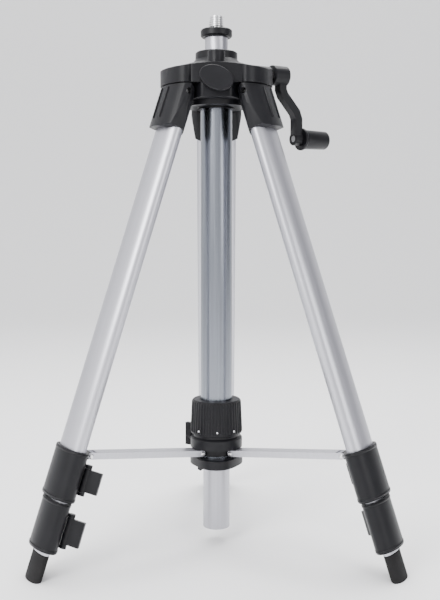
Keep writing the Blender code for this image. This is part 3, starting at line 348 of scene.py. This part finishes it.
# %% Stud
stud_low, stud_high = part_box("mounting_stud")
STUD_RADIUS = (stud_high.x - stud_low.x) / 2
PITCH = 2.309 * MM
TURNS = 5
STEPS = 36
stud = bmesh.new()
CORE_RADIUS = STUD_RADIUS - 1.3 * MM
core = bmesh.ops.create_cone(stud, cap_ends=True, segments=48, radius1=CORE_RADIUS,
                             radius2=CORE_RADIUS, depth=stud_high.z - stud_low.z)
middle = COLUMN + Vector((0, 0, (stud_low.z + stud_high.z) / 2))
bmesh.ops.translate(stud, verts=core["verts"], vec=middle)
root, crest = STUD_RADIUS - 1.5 * MM, STUD_RADIUS
start = stud_high.z - (TURNS + 0.9) * PITCH
section = [(root, 0), (root, 0.9 * PITCH), (crest, 0.55 * PITCH), (crest, 0.4 * PITCH)]
points = [COLUMN + Vector((radius, 0, start + height)) for radius, height in section]
ridge = stud.faces.new([stud.verts.new(point) for point in points])
bmesh.ops.spin(stud, geom=[ridge, *ridge.edges, *ridge.verts], cent=COLUMN, axis=(0, 0, 1),
               dvec=(0, 0, PITCH / STEPS), angle=2 * pi * TURNS, steps=STEPS * TURNS,
               use_merge=False)
bmesh.ops.recalc_face_normals(stud, faces=stud.faces)
stud_piece = add_piece("threaded_stud", stud, "column", BRIGHT_STEEL, 50)
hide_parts("mounting_stud")
print("stud thread turns:", TURNS)

# %% [markdown]
# ## Ribs on the spreader collar
#
# The collar is gripped to slide the braces up, so it is ribbed all round. Each rib is a slim
# rounded bar laid on the collar's taper. Three bright screw heads sit low on its front.

# %% Collar ribs
collar_low, collar_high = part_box("spreader_collar")
RIBS = 48
RIB_RADIUS = 1.0 * MM
bottom, top = collar_high.z - 34 * MM, collar_high.z - 1.6 * MM
lower_radius, upper_radius = 27.2 * MM, 25.9 * MM
ribs = bmesh.new()
for index in range(RIBS):
    turn = 2 * pi * index / RIBS
    made = bmesh.ops.create_cone(ribs, cap_ends=True, segments=8, radius1=RIB_RADIUS,
                                 radius2=0.8 * RIB_RADIUS, depth=top - bottom)
    lean = Matrix.Rotation(-(lower_radius - upper_radius) / (top - bottom), 4, "Y")
    out = Matrix.Translation(((lower_radius + upper_radius) / 2 - 0.25 * MM, 0, 0))
    middle = COLUMN + Vector((0, 0, (top + bottom) / 2))
    place = Matrix.Translation(middle) @ Matrix.Rotation(turn, 4, "Z")
    bmesh.ops.transform(ribs, matrix=place @ out @ lean, verts=made["verts"])
add_piece("collar_ribs", ribs, "carriage", PLASTIC, 50)

dots = bmesh.new()
for turn in (radians(228), radians(272), radians(312)):
    made = bmesh.ops.create_uvsphere(dots, u_segments=16, v_segments=8, radius=1.3 * MM)
    place = COLUMN + Vector((27.6 * MM * cos(turn), 27.6 * MM * sin(turn), bottom + 3 * MM))
    bmesh.ops.translate(dots, verts=made["verts"], vec=place)
add_piece("collar_screws", dots, "carriage", BRIGHT_STEEL, 60)
print("collar ribs:", RIBS)

# %% [markdown]
# ## Ribs on the knuckles and clamps
#
# Each knuckle has two upright ribs on its outer face, and each clamp a raised band at both
# ends. They stiffen thin mouldings. Each rib is a small bar with rounded edges, each band a thin
# ring.


# %% Knuckle ribs
def rounded_bar(shape, size, matrix):
    made = bmesh.ops.create_cube(shape, size=1)
    bmesh.ops.scale(shape, vec=size, verts=made["verts"])
    edges = list({edge for vert in made["verts"] for edge in vert.link_edges})
    bevelled = bmesh.ops.bevel(shape, geom=edges, offset=0.35 * min(size), offset_type="OFFSET",
                               segments=2, profile=0.5, affect="EDGES", material=-1)
    verts = {vert for face in bevelled["faces"] for vert in face.verts}
    verts |= {vert for vert in made["verts"] if vert.is_valid}
    bmesh.ops.transform(shape, matrix=matrix, verts=list(verts))


for side in LEGS:
    bars = bmesh.new()
    for across in (-7, 7):
        place = Matrix.Translation((17.6 * MM, across * MM, 487 * MM))
        rounded_bar(bars, (3.2 * MM, 2.4 * MM, 34 * MM), leg_matrix(side) @ place)
    add_piece(f"knuckle_ribs_{side}", bars, f"{side}_leg", PLASTIC, 40)


# %% Clamp bands
def band(shape, half_width, half_depth, height, along, matrix):
    """A thin oval ring round a clamp, at a distance along the leg."""
    made = bmesh.ops.create_cone(shape, cap_ends=False, segments=48, radius1=1, radius2=1,
                                 depth=height)
    bmesh.ops.scale(shape, vec=(half_depth, half_width, 1), verts=made["verts"])
    place = matrix @ Matrix.Translation((0, 0, along))
    bmesh.ops.transform(shape, matrix=place, verts=made["verts"])


for side in LEGS:
    for clamp, body, half_width, half_depth, ends in (
        ("upper", f"{side}_leg", 26.4 * MM, 14.7 * MM, (81, 125)),
        ("lower", f"{side}_middle_section", 22.9 * MM, 12.7 * MM, (31.5, 75)),
    ):
        rings = bmesh.new()
        for along in ends:
            band(rings, half_width, half_depth, 2.2 * MM, along * MM, leg_matrix(side))
        piece = add_piece(f"{clamp}_clamp_bands_{side}", rings, body, PLASTIC, 60)
        wall = piece.modifiers.new("Wall", "SOLIDIFY")
        wall.thickness = 0.9 * MM
        wall.offset = -1
print("ribs and bands on", len(LEGS), "legs")

# %% [markdown]
# ## Floor, light and camera
#
# The tripod stands in a white studio. Metal shows what is round it, so the surroundings are
# bright on the left and dimmer on the right, which shades the tubes. The floor bends up far behind
# the tripod, so no horizon shows. The camera is level, and a small lens shift frames the tripod.

# %% Stage
FLOOR_HALF_WIDTH = 7.0
BEND_START, BEND_RADIUS, WALL_TOP = 2.2, 1.6, 7.0
profile = [(-7.0, 0.0), (BEND_START, 0.0)]
for step in range(1, 17):
    turn = pi / 2 * step / 16
    profile.append((BEND_START + BEND_RADIUS * sin(turn), BEND_RADIUS * (1 - cos(turn))))
profile.append((BEND_START + BEND_RADIUS, WALL_TOP))
sweep = bmesh.new()
edges = (-FLOOR_HALF_WIDTH, FLOOR_HALF_WIDTH)
rows = [[sweep.verts.new((x, y, z)) for x in edges] for y, z in profile]
for (left, right), (next_left, next_right) in zip(rows, rows[1:]):
    sweep.faces.new((left, right, next_right, next_left))
floor_mesh = bpy.data.meshes.new("floor")
sweep.to_mesh(floor_mesh)
sweep.free()
floor_mesh.shade_smooth()
floor = bpy.data.objects.new("floor", floor_mesh)
bpy.context.scene.collection.objects.link(floor)
pale = Graph("pale_floor")
floor_mesh.materials.append(pale.set(Base_Color=(0.95, 0.95, 0.95, 1), Roughness=0.9))

world = bpy.data.worlds.new("studio")
bpy.context.scene.world = world
world.use_nodes = True
tree = world.node_tree
sky = tree.nodes["Background"]
ramp = tree.nodes.new("ShaderNodeValToRGB")
ramp.color_ramp.elements[0].color = (1.0, 1.0, 1.02, 1)
ramp.color_ramp.elements[1].color = (0.22, 0.22, 0.24, 1)
ramp.color_ramp.elements[0].position = 0.35
split = tree.nodes.new("ShaderNodeSeparateXYZ")
where = tree.nodes.new("ShaderNodeTexCoord")
halve = tree.nodes.new("ShaderNodeMath")
halve.operation = "MULTIPLY_ADD"
halve.inputs[1].default_value = 0.5
halve.inputs[2].default_value = 0.5
tree.links.new(where.outputs["Generated"], split.inputs[0])
tree.links.new(split.outputs["X"], halve.inputs[0])
tree.links.new(halve.outputs[0], ramp.inputs["Fac"])
tree.links.new(ramp.outputs["Color"], sky.inputs["Color"])
sky.inputs["Strength"].default_value = 1.7
white = tree.nodes.new("ShaderNodeBackground")
white.inputs["Color"].default_value = (1, 1, 1, 1)
seen = tree.nodes.new("ShaderNodeLightPath")
choose = tree.nodes.new("ShaderNodeMixShader")
tree.links.new(seen.outputs["Is Camera Ray"], choose.inputs[0])
tree.links.new(sky.outputs[0], choose.inputs[1])
tree.links.new(white.outputs[0], choose.inputs[2])
tree.links.new(choose.outputs[0], tree.nodes["World Output"].inputs["Surface"])


# %% Lights
def add_light(name, place, size, power):
    data = bpy.data.lights.new(name, "AREA")
    data.size = size
    data.energy = power
    light = bpy.data.objects.new(name, data)
    light.location = place
    aim = COLUMN + Vector((0, 0, 0.3)) - Vector(place)
    light.rotation_euler = aim.to_track_quat("-Z", "Y").to_euler()
    bpy.context.scene.collection.objects.link(light)


add_light("key", (-1.1, -1.5, 1.3), 0.9, 34)
add_light("fill", (1.3, -1.2, 0.7), 0.8, 9)
add_light("top", (0.1, 0.3, 1.8), 1.2, 42)

# %% Camera
camera_data = bpy.data.cameras.new("camera")
camera_data.lens = 51.66
camera_data.sensor_width = 36
camera_data.shift_x = 0.006
camera_data.shift_y = -0.12
camera = bpy.data.objects.new("camera", camera_data)
camera.location = COLUMN + Vector((0, -0.93, 0.337))
camera.rotation_euler = (radians(90), 0, 0)
bpy.context.scene.collection.objects.link(camera)
bpy.context.scene.camera = camera
